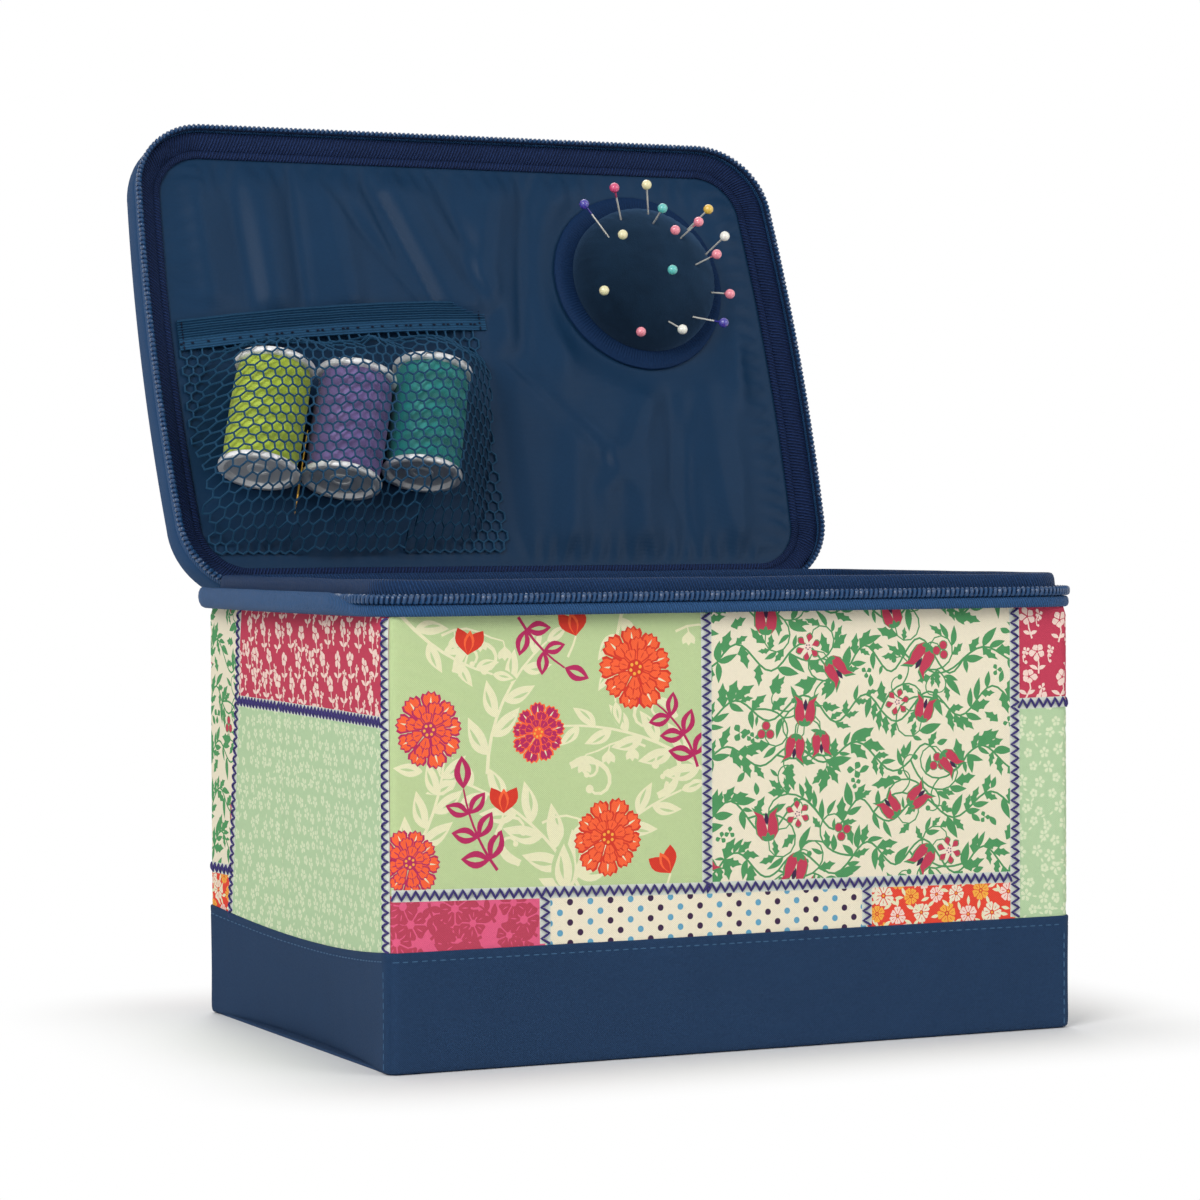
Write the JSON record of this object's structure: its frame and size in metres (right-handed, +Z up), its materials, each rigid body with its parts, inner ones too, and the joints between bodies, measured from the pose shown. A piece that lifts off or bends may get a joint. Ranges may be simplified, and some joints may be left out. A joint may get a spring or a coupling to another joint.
{
  "type": "sewing box",
  "caption": "Soft-sided patchwork sewing box with a zipped lid on a fabric hinge; the lid holds a mesh pocket with spools of thread and a pincushion with ball-headed pins.",
  "frame": {"origin": "centre of the flat underside, on the surface that the box stands on", "axes": "+X to the right along the front, +Y from the front to the hinge at the back, +Z up"},
  "size_m": [0.2834, 0.2716, 0.3359],
  "materials": {
    "navy_cloth": "matt woven cotton",
    "navy_satin": "soft satin",
    "print_front": "printed cotton patchwork",
    "print_ends": "printed cotton patchwork",
    "zip_tape": "woven tape",
    "zip_coil": "satin nylon",
    "stiff_board": "plain",
    "wadding": "soft",
    "slider": "satin enamel",
    "net": "knitted mesh",
    "elastic": "ribbed elastic",
    "spool": "glossy",
    "thread_lime": "wound thread",
    "thread_purple": "wound thread",
    "thread_teal": "wound thread",
    "needle": "polished",
    "velvet": "velvet",
    "pin_blue": "pearl",
    "pin_magenta": "pearl",
    "pin_cream": "pearl",
    "pin_teal": "pearl",
    "pin_pink": "pearl",
    "pin_gold": "pearl",
    "pin_white": "pearl"
  },
  "bodies": {
    "box": {"base_panel": "navy_cloth", "base_board": "stiff_board", "base_band": "navy_cloth", "front_panel": "print_front", "back_panel": "print_front", "left_end_panel": "print_ends", "right_end_panel": "print_ends", "front_board": "stiff_board", "back_board": "stiff_board", "left_end_board": "stiff_board", "right_end_board": "stiff_board", "body_lining": "navy_satin", "rim_lip": "navy_satin", "body_zip_tape": "zip_tape", "body_zip_coil": "zip_coil", "hinge_binding": "navy_cloth"},
    "lid": {"lid_panel": "print_front", "lid_gusset": "navy_cloth", "lid_padding": "wadding", "lid_board": "stiff_board", "lid_lining": "navy_satin", "lid_facing": "navy_cloth", "lid_zip_tape": "zip_tape", "lid_zip_coil": "zip_coil", "mesh_pocket": "net", "pocket_elastic": "elastic", "lime_spool": "spool", "lime_thread": "thread_lime", "purple_spool": "spool", "purple_thread": "thread_purple", "teal_spool": "spool", "teal_thread": "thread_teal", "needle": "needle", "pincushion_base": "navy_cloth", "pincushion": "velvet", "pin_01": "pin_blue", "pin_02": "pin_magenta", "pin_03": "pin_cream", "pin_04": "pin_teal", "pin_05": "pin_pink", "pin_06": "pin_gold", "pin_07": "pin_pink", "pin_08": "pin_white", "pin_09": "pin_pink", "pin_10": "pin_cream", "pin_11": "pin_teal", "pin_12": "pin_cream", "pin_13": "pin_pink", "pin_14": "pin_blue", "pin_15": "pin_white", "pin_16": "pin_pink"},
    "zip_slider": {"zip_slider": "slider"},
    "zip_pull": {"zip_pull": "slider"}
  },
  "joints": [
    {"name": "lid_hinge", "type": "hinge", "parent": "box", "child": "lid", "pos_m": [0, 0.0945, 0.157], "axis": [1, 0, 0], "range_deg": [0, 110]},
    {"name": "zip_slide", "type": "slide", "parent": "box", "child": "zip_slider", "axis": [0, -1, 0], "range_m": [0, 0.1]},
    {"name": "pull_swing", "type": "hinge", "parent": "zip_slider", "child": "zip_pull", "pos_m": [0.14243, 0.05, 0.157], "axis": [0, -1, 0], "range_deg": [0, 170]}
  ]
}
